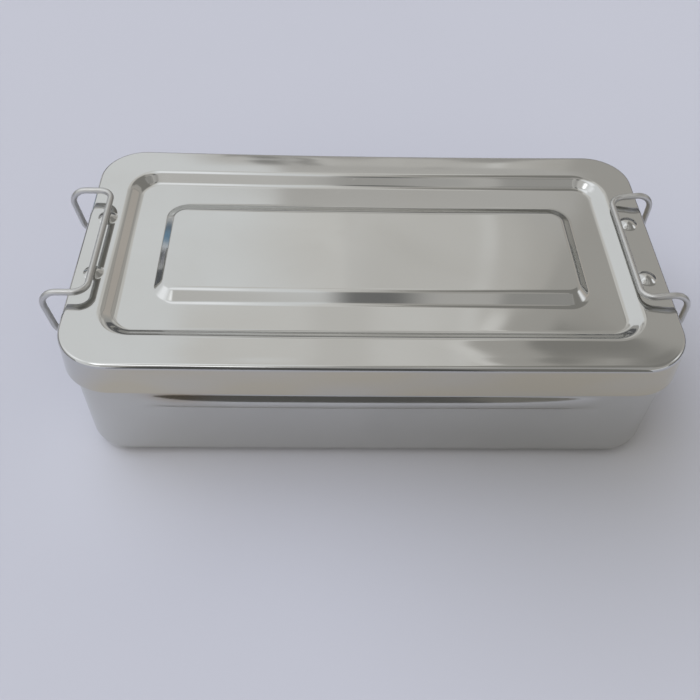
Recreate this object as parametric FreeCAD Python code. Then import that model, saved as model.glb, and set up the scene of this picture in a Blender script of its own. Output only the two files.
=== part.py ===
import FreeCAD, Part
import math
import os

from FreeCAD import Vector

# Instrument tray with a lift-off lid, pressed from thin stainless sheet.
# Two wire bails, one on each end wall, swing over the lid and hold it down.
# The frame: origin at the centre of the tray's underside, +X along the tray,
# +Y towards its back, +Z up. All sizes are in millimetres and degrees.

# Closed tray and sheet
CLOSED_HEIGHT = 58.1
SHEET = 0.6

# Lid outline, at its flat rim
LID_LENGTH = 222.0
LID_WIDTH = 120.0
LID_CORNER_RADIUS = 18.0
LID_EDGE_RADIUS = 1.8
SKIRT_HEIGHT = 14.3
SKIRT_FLARE = 0.6

# Sunk field of the lid, and the raised panel in its middle
FIELD_END_MARGIN = 13.3
FIELD_SIDE_MARGIN = 14.2
FIELD_CORNER_RADIUS = 12.0
FIELD_DEPTH = 3.0
FIELD_SLOPE_RUN = 4.5
PANEL_END_MARGIN = 29.7
PANEL_SIDE_MARGIN = 32.0
PANEL_CORNER_RADIUS = 8.5
PANEL_HEIGHT = 2.5
PANEL_END_RUN = 3.8
PANEL_SIDE_RUN = 5.7
PRESS_BEND_RADIUS = 1.2

# Pips, the domes behind which a bail's crossbar is caught
PIP_END_MARGIN = 7.5
PIP_SPACING = 31.0
PIP_BASE_RADIUS = 3.5
PIP_HEIGHT = 1.4

# Tray walls, floor and folded rim
WALL_INSET = 1.8
WALL_DRAFT_RUN = 1.1
FLOOR_EDGE_RADIUS = 8.0
HEM_HEIGHT = 4.0
HEM_EDGE_RADIUS = 0.4
LID_SEAT_GAP = 0.25

# Long bead pressed outwards on each side wall, under the lid's skirt
BEAD_BELOW_RIM = 22.2
BEAD_WIDTH = 7.0
BEAD_HEIGHT = 1.6
BEAD_END_MARGIN = 22.0

# Bails of round wire
WIRE_DIAMETER = 2.4
ARM_SPACING = 57.0
PIVOT_BELOW_RIM = 24.9
CROSSBAR_RIM_GAP = 1.1
CROSSBAR_PIP_GAP = 0.3
ARM_SKIRT_GAP = 3.0
SHOULDER_RISE = 2.6
FOOT_RISE = 12.0
CROSSBAR_BEND_RADIUS = 5.0
SHOULDER_BEND_RADIUS = 6.0
ELBOW_BEND_RADIUS = 6.0
FOOT_BEND_RADIUS = 3.5
WIRE_END_GAP = 1.2
AJAR_PIP_OFFSET = 0.7
LEFT_BAIL_SHIFT = -1.1

# Hinge straps, spot-welded on the end walls
STRAP_SHEET = 1.0
STRAP_LENGTH = 44.0
STRAP_DROP = 14.0
STRAP_CORNER_RADIUS = 3.0
STRAP_BARREL_STANDOFF = 0.2
BARREL_CLEARANCE = 0.05
BARREL_SLIT_START = 232.0
BARREL_SLIT_ANGLE = 26.0

# Values worked out from the sizes above
HALF_LENGTH = LID_LENGTH / 2
HALF_WIDTH = LID_WIDTH / 2
RIM_Z = CLOSED_HEIGHT
SKIRT_BOTTOM_Z = RIM_Z - SKIRT_HEIGHT
TRAY_TOP_Z = RIM_Z - SHEET - LID_SEAT_GAP
FLOOR_INSET = WALL_INSET + WALL_DRAFT_RUN
WALL_ANGLE = math.atan2(WALL_DRAFT_RUN, TRAY_TOP_Z)
WIRE_RADIUS = WIRE_DIAMETER / 2
PIP_X = HALF_LENGTH - PIP_END_MARGIN
BORE_RADIUS = WIRE_RADIUS + BARREL_CLEARANCE
BARREL_RADIUS = BORE_RADIUS + STRAP_SHEET
PIVOT_Z = RIM_Z - PIVOT_BELOW_RIM


def wall_inset_at(z):
    """Inset of the tray's outer wall face from the lid's outline, at height z."""
    return WALL_INSET + WALL_DRAFT_RUN * (TRAY_TOP_Z - z) / TRAY_TOP_Z


PIVOT_X = HALF_LENGTH - wall_inset_at(PIVOT_Z) + BARREL_RADIUS + STRAP_BARREL_STANDOFF


def rounded_outline(half_x, half_y, radius, z):
    """Closed wire: a rectangle with round corners, centred on the Z axis."""
    near_x = half_x - radius
    near_y = half_y - radius
    corners = [(near_x, near_y, 0), (-near_x, near_y, 90), (-near_x, -near_y, 180), (near_x, -near_y, 270)]
    arcs = []
    for x, y, start in corners:
        points = []
        for angle in (start, start + 45, start + 90):
            turn = math.radians(angle)
            points.append(Vector(x + radius * math.cos(turn), y + radius * math.sin(turn), z))
        arcs.append(Part.Arc(*points).toShape())
    edges = []
    for index, arc in enumerate(arcs):
        following = arcs[(index + 1) % len(arcs)]
        edges.append(arc)
        edges.append(Part.makeLine(arc.Vertexes[-1].Point, following.Vertexes[0].Point))
    return Part.Wire(Part.__sortEdges__(edges))


def tapered_block(low, high):
    """Solid between two rounded outlines, each given as (half_x, half_y, radius, z)."""
    return Part.makeLoft([rounded_outline(*low), rounded_outline(*high)], True, True)


def edges_at(shape, z, half_x, half_y):
    """Edges that lie at height z within a rectangle of the given half sizes."""
    found = []
    for edge in shape.Edges:
        box = edge.BoundBox
        level = abs(box.ZMin - z) < 1e-4 and abs(box.ZMax - z) < 1e-4
        inside = max(abs(box.XMin), abs(box.XMax)) < half_x and max(abs(box.YMin), abs(box.YMax)) < half_y
        if level and inside:
            found.append(edge)
    return found


def slope_shift(run, rise, offset):
    """Sideways shift that keeps an offset between two parallel slopes of the same height."""
    return offset * math.tan(math.atan2(rise, run) / 2)


def lid_block(offset):
    """The lid's outer form without its pressings, moved inwards by an offset."""
    top_z = RIM_Z - offset
    radius = LID_CORNER_RADIUS - offset
    half_x = HALF_LENGTH - offset
    half_y = HALF_WIDTH - offset
    low = (half_x + SKIRT_FLARE, half_y + SKIRT_FLARE, radius + SKIRT_FLARE, SKIRT_BOTTOM_Z)
    high = (half_x, half_y, radius, top_z)
    block = tapered_block(low, high)
    rim = edges_at(block, top_z, LID_LENGTH, LID_WIDTH)
    return block.makeFillet(LID_EDGE_RADIUS - offset, rim)


def lid_form(offset):
    """The lid's outer form with its pressings, or its inner form at one sheet's offset."""
    rim_z = RIM_Z - offset
    field_z = rim_z - FIELD_DEPTH
    panel_z = field_z + PANEL_HEIGHT
    field_shift = slope_shift(FIELD_SLOPE_RUN, FIELD_DEPTH, offset)
    field_x = HALF_LENGTH - FIELD_END_MARGIN + field_shift
    field_y = HALF_WIDTH - FIELD_SIDE_MARGIN + field_shift
    field_radius = FIELD_CORNER_RADIUS + field_shift
    field_high = (field_x, field_y, field_radius, rim_z)
    field_low = (
        field_x - FIELD_SLOPE_RUN,
        field_y - FIELD_SLOPE_RUN,
        field_radius - FIELD_SLOPE_RUN,
        field_z,
    )
    end_shift = slope_shift(PANEL_END_RUN, PANEL_HEIGHT, offset)
    side_shift = slope_shift(PANEL_SIDE_RUN, PANEL_HEIGHT, offset)
    panel_x = HALF_LENGTH - PANEL_END_MARGIN - end_shift
    panel_y = HALF_WIDTH - PANEL_SIDE_MARGIN - side_shift
    panel_radius = PANEL_CORNER_RADIUS - end_shift
    panel_low = (panel_x, panel_y, panel_radius, field_z)
    panel_high = (
        panel_x - PANEL_END_RUN,
        panel_y - PANEL_SIDE_RUN,
        panel_radius - PANEL_END_RUN,
        panel_z,
    )
    form = lid_block(offset).cut(tapered_block(field_low, field_high))
    form = form.fuse(tapered_block(panel_low, panel_high)).removeSplitter()

    # An upper bend loses the sheet's thickness on its inner side, and a lower one gains it.
    upper = PRESS_BEND_RADIUS + SHEET - offset
    lower = PRESS_BEND_RADIUS + offset
    form = form.makeFillet(upper, edges_at(form, rim_z, field_x + 1, field_y + 1))
    form = form.makeFillet(lower, edges_at(form, field_z, field_x, field_y))
    form = form.makeFillet(upper, edges_at(form, panel_z, panel_x, panel_y))
    return form.fuse(pips(offset)).removeSplitter()


def pips(offset):
    """The four domes near the lid's ends, or their hollow undersides."""
    ball_radius = (PIP_BASE_RADIUS ** 2 + PIP_HEIGHT ** 2) / (2 * PIP_HEIGHT)
    centre_z = RIM_Z + PIP_HEIGHT - ball_radius
    domes = []
    for side_x in (-1, 1):
        for side_y in (-1, 1):
            centre = Vector(side_x * PIP_X, side_y * PIP_SPACING / 2, centre_z)
            ball = Part.makeSphere(ball_radius - offset, centre)
            corner = centre + Vector(-ball_radius, -ball_radius, RIM_Z - 2 * SHEET - centre_z)
            above = Part.makeBox(2 * ball_radius, 2 * ball_radius, 2 * ball_radius, corner)
            domes.append(ball.common(above))
    return domes


def make_lid():
    """The lid: skirt, rim, sunk field, raised panel and four pips in one pressed sheet."""
    return lid_form(0).cut(lid_form(SHEET))


def tray_block(offset):
    """The tray's outer form, or its hollow at one sheet's offset."""
    lift = offset / math.cos(WALL_ANGLE)
    radius = LID_CORNER_RADIUS
    high_inset = WALL_INSET + lift
    low_inset = FLOOR_INSET + lift
    low = (HALF_LENGTH - low_inset, HALF_WIDTH - low_inset, radius - low_inset, offset)
    high = (HALF_LENGTH - high_inset, HALF_WIDTH - high_inset, radius - high_inset, TRAY_TOP_Z)
    block = tapered_block(low, high)
    return block.makeFillet(FLOOR_EDGE_RADIUS - offset, edges_at(block, offset, LID_LENGTH, LID_WIDTH))


def bead(side, offset):
    """The long bead's outer form on one side wall, or its groove on the wall's inside."""
    z = RIM_Z - BEAD_BELOW_RIM
    radius = (BEAD_WIDTH ** 2 / 4 + BEAD_HEIGHT ** 2) / (2 * BEAD_HEIGHT)
    wall_y = HALF_WIDTH - wall_inset_at(z)
    axis_y = side * (wall_y + BEAD_HEIGHT - radius)
    reach = HALF_LENGTH - BEAD_END_MARGIN - BEAD_WIDTH / 2
    ends = [Vector(-reach, axis_y, z), Vector(reach, axis_y, z)]
    core = Part.makeCylinder(radius - offset, 2 * reach, ends[0], Vector(1, 0, 0))
    balls = [Part.makeSphere(radius - offset, end) for end in ends]
    return core.fuse(balls).removeSplitter()


def rim_hem():
    """The tray's rim, where the sheet is folded flat against its own outside."""
    inset = WALL_INSET - SHEET
    low_z = TRAY_TOP_Z - HEM_HEIGHT
    size = (HALF_LENGTH - inset, HALF_WIDTH - inset, LID_CORNER_RADIUS - inset)
    block = tapered_block((*size, low_z), (*size, TRAY_TOP_Z))
    edges = []
    for z in (low_z, TRAY_TOP_Z):
        edges += edges_at(block, z, LID_LENGTH, LID_WIDTH)
    return block.makeFillet(HEM_EDGE_RADIUS, edges)


def make_tray():
    """The tray: floor, drafted walls, two side beads and the folded rim."""
    outside = tray_block(0).fuse([rim_hem(), bead(-1, 0), bead(1, 0)])
    inside = tray_block(SHEET).fuse([bead(-1, SHEET), bead(1, SHEET)])
    return outside.cut(inside).removeSplitter()


def rounded_path(points, radii):
    """Open wire through the points, with a tangent arc of the given radius at each inner point."""
    edges = []
    start = points[0]
    for before, corner, after, radius in zip(points, points[1:], points[2:], radii):
        into = (corner - before).normalize()
        out = (after - corner).normalize()
        turn = into.getAngle(out)
        reach = radius * math.tan(turn / 2)
        leave = corner - into * reach
        arrive = corner + out * reach
        bisector = (out - into).normalize()
        centre = corner + bisector * (radius / math.cos(turn / 2))
        middle = centre - bisector * radius
        edges.append(Part.makeLine(start, leave))
        edges.append(Part.Arc(leave, middle, arrive).toShape())
        start = arrive
    edges.append(Part.makeLine(start, points[-1]))
    return Part.Wire(edges)


def bail_profile():
    """Side view of a latched bail as (x, z) points from the pivot: elbow, shoulder, crossbar."""
    elbow_x = HALF_LENGTH + SKIRT_FLARE + ARM_SKIRT_GAP + WIRE_RADIUS
    crossbar_x = PIP_X - PIP_BASE_RADIUS - WIRE_RADIUS - CROSSBAR_PIP_GAP
    crossbar_z = RIM_Z + CROSSBAR_RIM_GAP + WIRE_RADIUS
    return [
        (PIVOT_X, PIVOT_Z),
        (elbow_x, PIVOT_Z + FOOT_RISE),
        (elbow_x, crossbar_z + SHOULDER_RISE),
        (crossbar_x, crossbar_z),
    ]


def make_latched_bail():
    """The right bail, latched: one bent wire whose two ends meet inside the strap's barrel."""
    profile = bail_profile()
    arm_y = ARM_SPACING / 2
    end_y = WIRE_END_GAP / 2
    front = [Vector(x, -arm_y, z) for x, z in profile]
    back = [Vector(x, arm_y, z) for x, z in reversed(profile)]
    first_end = Vector(PIVOT_X, -end_y, PIVOT_Z)
    last_end = Vector(PIVOT_X, end_y, PIVOT_Z)
    bends = [FOOT_BEND_RADIUS, ELBOW_BEND_RADIUS, SHOULDER_BEND_RADIUS, CROSSBAR_BEND_RADIUS]
    path = rounded_path([first_end, *front, *back, last_end], bends + bends[::-1])
    section = Part.Face(Part.Wire(Part.makeCircle(WIRE_RADIUS, first_end, Vector(0, 1, 0))))
    wire = path.makePipe(section)
    print("bail: wire length %.1f, volume %.1f, section times length %.1f" % (
        path.Length, wire.Volume, math.pi * WIRE_RADIUS ** 2 * path.Length))
    return wire


def ajar_angle():
    """Degrees that the left bail has swung out, so that its crossbar stands on the pips."""
    crossbar_x, crossbar_z = bail_profile()[-1]
    reach_x = PIVOT_X - crossbar_x
    reach_z = crossbar_z - PIVOT_Z
    radius = math.hypot(reach_x, reach_z)
    ajar_reach = PIVOT_X - PIP_X + AJAR_PIP_OFFSET
    return math.degrees(math.atan2(reach_x, reach_z) - math.asin(ajar_reach / radius))


def make_strap():
    """The right hinge strap: a plate on the end wall, its top edge rolled round the wire."""
    y_start = -STRAP_LENGTH / 2
    run = Vector(0, STRAP_LENGTH, 0)
    centre = Vector(PIVOT_X, y_start, PIVOT_Z)
    along_y = Vector(0, 1, 0)
    roll = Part.makeCylinder(BARREL_RADIUS, STRAP_LENGTH, centre, along_y)

    # The slit is where the rolled edge comes back to the plate, under the wire.
    slit_reach = 2 * BARREL_RADIUS
    slit_start = math.radians(BARREL_SLIT_START)
    slit_end = slit_start + math.radians(BARREL_SLIT_ANGLE)
    slit_points = [centre]
    for angle in (slit_start, slit_end):
        slit_points.append(centre + Vector(slit_reach * math.cos(angle), 0, slit_reach * math.sin(angle)))
    slit = Part.Face(Part.makePolygon(slit_points + [centre])).extrude(run)

    low_z = PIVOT_Z - STRAP_DROP
    plate_top = Vector(HALF_LENGTH - wall_inset_at(PIVOT_Z), y_start, PIVOT_Z)
    plate_foot = Vector(HALF_LENGTH - wall_inset_at(low_z), y_start, low_z)
    outwards = Vector(math.cos(WALL_ANGLE), 0, -math.sin(WALL_ANGLE)) * STRAP_SHEET
    outline = [plate_top, plate_foot, plate_foot + outwards, plate_top + outwards, plate_top]
    plate = Part.Face(Part.makePolygon(outline)).extrude(run)
    middle_z = PIVOT_Z - STRAP_DROP / 2
    low_edges = [edge for edge in plate.Edges if edge.BoundBox.ZMax < middle_z]
    corners = [edge for edge in low_edges if abs(edge.Length - STRAP_SHEET) < 1e-4]
    plate = plate.makeFillet(STRAP_CORNER_RADIUS, corners)

    bore = Part.makeCylinder(BORE_RADIUS, STRAP_LENGTH, centre, along_y)
    return roll.cut(slit).fuse(plate).cut(bore).removeSplitter()


def to_left(shape):
    """The same piece on the tray's left end."""
    return shape.mirror(Vector(0, 0, 0), Vector(1, 0, 0))


def make_parts():
    """Every piece of the tray by its name, in its place."""
    bail = make_latched_bail()
    left_bail = to_left(bail)
    left_bail.rotate(Vector(-PIVOT_X, 0, PIVOT_Z), Vector(0, 1, 0), -ajar_angle())
    left_bail.translate(Vector(0, LEFT_BAIL_SHIFT, 0))
    strap = make_strap()
    return {
        "tray_shell": make_tray(),
        "lid_shell": make_lid(),
        "left_hinge_strap": to_left(strap),
        "right_hinge_strap": strap,
        "left_bail": left_bail,
        "right_bail": bail,
    }


os.makedirs("parts", exist_ok=True)
for name, shape in make_parts().items():
    box = shape.BoundBox
    print("%-18s solids %d, valid %s, volume %.1f, x %.2f to %.2f, y %.2f to %.2f, z %.2f to %.2f" % (
        name, len(shape.Solids), shape.isValid(), shape.Volume,
        box.XMin, box.XMax, box.YMin, box.YMax, box.ZMin, box.ZMax))
    shape.exportStep("parts/%s.step" % name)
print("pivot x %.3f, z %.3f; left bail ajar by %.3f degrees" % (PIVOT_X, PIVOT_Z, ajar_angle()))
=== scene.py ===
"""The looks of a pressed-steel instrument tray with a lift-off lid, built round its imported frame.

The tray and the lid are each one sheet of polished stainless steel. Each bail is one bent wire, and each
hinge strap is a sheet whose top edge is rolled round the wire. Sizes are in millimetres, and they become
metres where a mesh is made. The frame: +X along the tray, +Y towards its back, +Z up.
"""

import logging
import math
from dataclasses import dataclass, field
from enum import Enum
from typing import Sequence

import bpy
import numpy as np
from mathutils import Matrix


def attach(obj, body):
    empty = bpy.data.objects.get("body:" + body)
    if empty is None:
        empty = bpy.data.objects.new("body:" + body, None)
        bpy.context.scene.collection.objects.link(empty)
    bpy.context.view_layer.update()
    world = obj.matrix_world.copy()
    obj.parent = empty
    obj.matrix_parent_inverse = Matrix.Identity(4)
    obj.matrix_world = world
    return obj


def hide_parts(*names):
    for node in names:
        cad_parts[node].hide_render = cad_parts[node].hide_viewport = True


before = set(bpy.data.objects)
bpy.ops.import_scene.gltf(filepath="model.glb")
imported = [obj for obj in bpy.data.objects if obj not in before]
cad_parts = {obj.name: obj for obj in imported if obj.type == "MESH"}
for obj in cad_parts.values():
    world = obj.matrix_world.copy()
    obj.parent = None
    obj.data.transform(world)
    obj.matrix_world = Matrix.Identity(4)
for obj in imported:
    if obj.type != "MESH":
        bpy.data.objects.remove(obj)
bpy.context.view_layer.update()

LOG = logging.getLogger("tray")
MM = 0.001
TINT_MASK = "tint"

Colour = tuple[float, float, float]


class Body(Enum):
    """The bodies that pieces ride on."""

    TRAY = "tray"
    LID = "lid"
    LEFT_BAIL = "left_bail"
    RIGHT_BAIL = "right_bail"


class Slot(Enum):
    """The finish slots of the record."""

    POLISHED_SHEET = "polished_sheet"
    STRAP_SHEET = "strap_sheet"
    BAIL_WIRE = "bail_wire"


class Group(Enum):
    """The shader node groups that the steel finishes share."""

    POLISH_LINES = "polish_lines"
    HAIRLINES = "hairline_scratches"
    SMUDGES = "handling_smudges"


# Shader building


@dataclass
class NodeBench:
    """A node tree with short ways to add and wire nodes."""

    tree: bpy.types.NodeTree

    def add(self, kind: str, **settings: object) -> bpy.types.Node:
        """Adds a node.

        Args:
            kind: The node's class name.
            settings: Attributes to set on it.

        Returns:
            The new node.
        """
        node = self.tree.nodes.new(kind)
        for name, value in settings.items():
            setattr(node, name, value)
        return node

    def wire(self, source: object, target: bpy.types.NodeSocket) -> None:
        """Feeds a socket from another socket, or gives it a plain value."""
        if isinstance(source, bpy.types.NodeSocket):
            self.tree.links.new(source, target)
        elif isinstance(source, tuple) and len(source) < len(target.default_value):
            target.default_value = (*source, 1.0)
        else:
            target.default_value = source

    def math(self, operation: str, *inputs: object) -> bpy.types.NodeSocket:
        """Adds a math node and returns its result."""
        node = self.add("ShaderNodeMath", operation=operation)
        for index, value in enumerate(inputs):
            self.wire(value, node.inputs[index])
        return node.outputs[0]

    def scaled(self, vector: object, factors: object) -> bpy.types.NodeSocket:
        """Multiplies a vector by another, part by part."""
        node = self.add("ShaderNodeVectorMath", operation="MULTIPLY")
        self.wire(vector, node.inputs[0])
        self.wire(factors, node.inputs[1])
        return node.outputs[0]

    def step(self, value: object, low: object, high: object) -> bpy.types.NodeSocket:
        """Returns 0 at low and 1 at high, with a smooth step between."""
        node = self.add("ShaderNodeMapRange", interpolation_type="SMOOTHSTEP")
        for name, source in (("Value", value), ("From Min", low), ("From Max", high)):
            self.wire(source, node.inputs[name])
        return node.outputs["Result"]

    def mix(self, factor: object, first: object, second: object) -> bpy.types.NodeSocket:
        """Mixes two colours and returns the result."""
        node = self.add("ShaderNodeMix", data_type="RGBA")
        self.wire(factor, node.inputs[0])
        self.wire(first, node.inputs[6])
        self.wire(second, node.inputs[7])
        return node.outputs[2]

    def noise(self, vector: object, scale: float, detail: float = 2.0) -> bpy.types.NodeSocket:
        """Adds a noise texture and returns its value, about 0.5 on average."""
        node = self.add("ShaderNodeTexNoise")
        self.wire(vector, node.inputs["Vector"])
        node.inputs["Scale"].default_value = scale
        node.inputs["Detail"].default_value = detail
        return node.outputs[0]

    def group(self, group: bpy.types.NodeTree, **inputs: object) -> bpy.types.NodeSocket:
        """Places a shared group, feeds its named inputs and returns its one output."""
        node = self.add("ShaderNodeGroup", node_tree=group)
        for name, value in inputs.items():
            self.wire(value, node.inputs[name])
        return node.outputs[0]


def new_group(
    name: Group, numbers: dict[str, float], output: str
) -> tuple[NodeBench, bpy.types.Node, bpy.types.Node]:
    """Starts a shader node group that takes a position and some numbers.

    Args:
        name: The group's name.
        numbers: Each number input with its usual value.
        output: The name of its one number output.

    Returns:
        The bench of the group's tree, its input node and its output node.
    """
    tree = bpy.data.node_groups.new(name.value, "ShaderNodeTree")
    tree.interface.new_socket("Position", in_out="INPUT", socket_type="NodeSocketVector")
    for label, value in numbers.items():
        socket = tree.interface.new_socket(label, in_out="INPUT", socket_type="NodeSocketFloat")
        socket.default_value = value
    tree.interface.new_socket(output, in_out="OUTPUT", socket_type="NodeSocketFloat")
    bench = NodeBench(tree)
    return bench, bench.add("NodeGroupInput"), bench.add("NodeGroupOutput")


def polish_lines_group() -> bpy.types.NodeTree:
    """Fine lines along the tray, which the polishing wheel leaves.

    Returns:
        A group with the inputs Position, Scale and Stretch, and the output Height.
    """
    bench, given, result = new_group(Group.POLISH_LINES, {"Scale": 2500.0, "Stretch": 30.0}, "Height")
    along = bench.math("DIVIDE", given.outputs["Scale"], given.outputs["Stretch"])
    factors = bench.add("ShaderNodeCombineXYZ")
    bench.wire(along, factors.inputs["X"])
    bench.wire(given.outputs["Scale"], factors.inputs["Y"])
    bench.wire(given.outputs["Scale"], factors.inputs["Z"])
    stretched = bench.scaled(given.outputs["Position"], factors.outputs[0])
    bench.wire(bench.noise(stretched, 1.0, 3.0), result.inputs["Height"])
    return bench.tree


def hairlines_group() -> bpy.types.NodeTree:
    """Sparse straight scratches in a few directions.

    Returns:
        A group with the inputs Position, Scale and Amount, and the output Mask.
    """
    bench, given, result = new_group(Group.HAIRLINES, {"Scale": 900.0, "Amount": 0.5}, "Mask")
    limit = bench.math("SUBTRACT", 0.86, bench.math("MULTIPLY", given.outputs["Amount"], 0.16))
    total = None
    for turn, tilt in ((0.35, 0.2), (1.9, -0.4), (2.75, 0.7)):
        turned = bench.add("ShaderNodeVectorRotate", rotation_type="EULER_XYZ")
        turned.inputs["Rotation"].default_value = (tilt, tilt, turn)
        bench.wire(given.outputs["Position"], turned.inputs["Vector"])
        thin = bench.scaled(turned.outputs[0], (0.02, 1.0, 1.0))
        scratch = bench.add("ShaderNodeTexNoise")
        bench.wire(thin, scratch.inputs["Vector"])
        bench.wire(given.outputs["Scale"], scratch.inputs["Scale"])
        scratch.inputs["Detail"].default_value = 1.0
        line = bench.step(scratch.outputs[0], limit, bench.math("ADD", limit, 0.03))
        total = line if total is None else bench.math("MAXIMUM", total, line)
    patches = bench.step(bench.noise(given.outputs["Position"], 45.0), 0.42, 0.62)
    bench.wire(bench.math("MULTIPLY", total, patches), result.inputs["Mask"])
    return bench.tree


def smudges_group() -> bpy.types.NodeTree:
    """Faint cloudy patches where hands and cloths have been.

    Returns:
        A group with the inputs Position, Scale and Amount, and the output Mask.
    """
    bench, given, result = new_group(Group.SMUDGES, {"Scale": 22.0, "Amount": 0.5}, "Mask")
    clouds = bench.add("ShaderNodeTexNoise")
    bench.wire(given.outputs["Position"], clouds.inputs["Vector"])
    bench.wire(given.outputs["Scale"], clouds.inputs["Scale"])
    clouds.inputs["Detail"].default_value = 5.0
    clouds.inputs["Distortion"].default_value = 0.6
    patch = bench.step(clouds.outputs[0], 0.38, 0.72)
    bench.wire(bench.math("MULTIPLY", patch, given.outputs["Amount"]), result.inputs["Mask"])
    return bench.tree


@dataclass(frozen=True)
class SteelFinish:
    """A stainless finish: its colour, how smooth it is, how it has been handled and its tint where it has one."""

    name: str
    slot: Slot
    colour: Colour
    stain: Colour
    roughness: float
    smudge_amount: float
    line_depth: float
    hairline_amount: float
    tint: Colour = (0.40, 0.31, 0.20)

    def material(self, groups: dict[Group, bpy.types.NodeTree]) -> bpy.types.Material:
        """Makes the material.

        Args:
            groups: The shared node groups.

        Returns:
            The new material.
        """
        made = bpy.data.materials.new(self.name)
        made.use_nodes = True
        made.node_tree.nodes.clear()
        bench = NodeBench(made.node_tree)
        position = bench.add("ShaderNodeTexCoord").outputs["Object"]
        smudge = bench.group(groups[Group.SMUDGES], Position=position, Scale=24.0, Amount=self.smudge_amount)
        lines = bench.group(groups[Group.POLISH_LINES], Position=position, Scale=2600.0, Stretch=30.0)
        hairline = bench.group(groups[Group.HAIRLINES], Position=position, Scale=800.0, Amount=self.hairline_amount)

        colour = bench.mix(smudge, self.colour, self.stain)
        tint_mask = bench.add("ShaderNodeAttribute", attribute_name=TINT_MASK)
        colour = bench.mix(tint_mask.outputs["Fac"], colour, self.tint)
        rough = bench.math("ADD", self.roughness, bench.math("MULTIPLY", smudge, 0.10))
        rough = bench.math("ADD", rough, bench.math("MULTIPLY", hairline, 0.16))
        height = bench.math("SUBTRACT", lines, bench.math("MULTIPLY", hairline, 0.8))
        bump = bench.add("ShaderNodeBump")
        bump.inputs["Strength"].default_value = 0.35
        bump.inputs["Distance"].default_value = self.line_depth * MM
        bench.wire(height, bump.inputs["Height"])

        shader = bench.add("ShaderNodeBsdfPrincipled")
        shader.inputs["Metallic"].default_value = 1.0
        bench.wire(colour, shader.inputs["Base Color"])
        bench.wire(rough, shader.inputs["Roughness"])
        bench.wire(bump.outputs["Normal"], shader.inputs["Normal"])
        output = bench.add("ShaderNodeOutputMaterial")
        bench.wire(shader.outputs[0], output.inputs["Surface"])
        return made


LID_STEEL = SteelFinish(
    name="lid steel",
    slot=Slot.POLISHED_SHEET,
    colour=(0.611, 0.613, 0.597),
    stain=(0.562, 0.558, 0.533),
    roughness=0.065,
    smudge_amount=0.35,
    line_depth=0.0015,
    hairline_amount=0.25,
    tint=(0.62, 0.572, 0.452),
)
TRAY_STEEL = SteelFinish(
    name="tray steel",
    slot=Slot.POLISHED_SHEET,
    colour=(0.605, 0.60, 0.565),
    stain=(0.55, 0.545, 0.51),
    roughness=0.17,
    smudge_amount=0.5,
    line_depth=0.006,
    hairline_amount=0.35,
)
STRAP_STEEL = SteelFinish(
    name="strap steel",
    slot=Slot.STRAP_SHEET,
    colour=(0.59, 0.588, 0.575),
    stain=(0.53, 0.52, 0.50),
    roughness=0.20,
    smudge_amount=0.6,
    line_depth=0.008,
    hairline_amount=0.6,
)
WIRE_STEEL = SteelFinish(
    name="bail wire steel",
    slot=Slot.BAIL_WIRE,
    colour=(0.61, 0.607, 0.592),
    stain=(0.54, 0.53, 0.51),
    roughness=0.36,
    smudge_amount=0.4,
    line_depth=0.006,
    hairline_amount=0.4,
)


# Mesh building


@dataclass(frozen=True)
class Outline:
    """A rectangle with round corners, level, centred on the Z axis."""

    half_x: float
    half_y: float
    radius: float
    z: float

    def between(self, other: "Outline", share: float, z: float) -> "Outline":
        """The outline that lies a share of the way to another one, at height z."""
        parts = []
        for mine, theirs in ((self.half_x, other.half_x), (self.half_y, other.half_y), (self.radius, other.radius)):
            parts.append(mine + (theirs - mine) * share)
        return Outline(*parts, z)


@dataclass(frozen=True)
class RingPlan:
    """How the points of each ring are spread round a rounded rectangle.

    The fractions say where points lie on a straight side, from -1 to 1 without the ends.
    """

    long_side: tuple[float, ...]
    short_side: tuple[float, ...]
    corner_steps: int = 24

    @property
    def long_count(self) -> int:
        """Steps from one corner's middle to the next along a long side."""
        return len(self.long_side) + 1 + self.corner_steps

    @property
    def short_count(self) -> int:
        """Steps from one corner's middle to the next along a short side."""
        return len(self.short_side) + 1 + self.corner_steps

    def ring(self, outline: Outline) -> np.ndarray:
        """Points of one ring, counter-clockwise from above, from the middle of the front-left corner."""
        near_x = outline.half_x - outline.radius
        near_y = outline.half_y - outline.radius
        half = self.corner_steps // 2
        corners = ((-near_x, -near_y), (near_x, -near_y), (near_x, near_y), (-near_x, near_y))
        points = []
        for side in range(4):
            start, end = np.array(corners[side]), np.array(corners[(side + 1) % 4])
            facing = math.radians(-90 + 90 * side)
            out = np.array((math.cos(facing), math.sin(facing))) * outline.radius
            for angle in np.linspace(facing - math.pi / 4, facing, half + 1):
                points.append(start + outline.radius * np.array((math.cos(angle), math.sin(angle))))
            for fraction in self.long_side if side % 2 == 0 else self.short_side:
                share = (fraction + 1) / 2
                points.append(start * (1 - share) + end * share + out)
            for angle in np.linspace(facing, facing + math.pi / 4, half + 1)[:-1]:
                points.append(end + outline.radius * np.array((math.cos(angle), math.sin(angle))))
        return np.column_stack((np.array(points), np.full(len(points), outline.z)))


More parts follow.
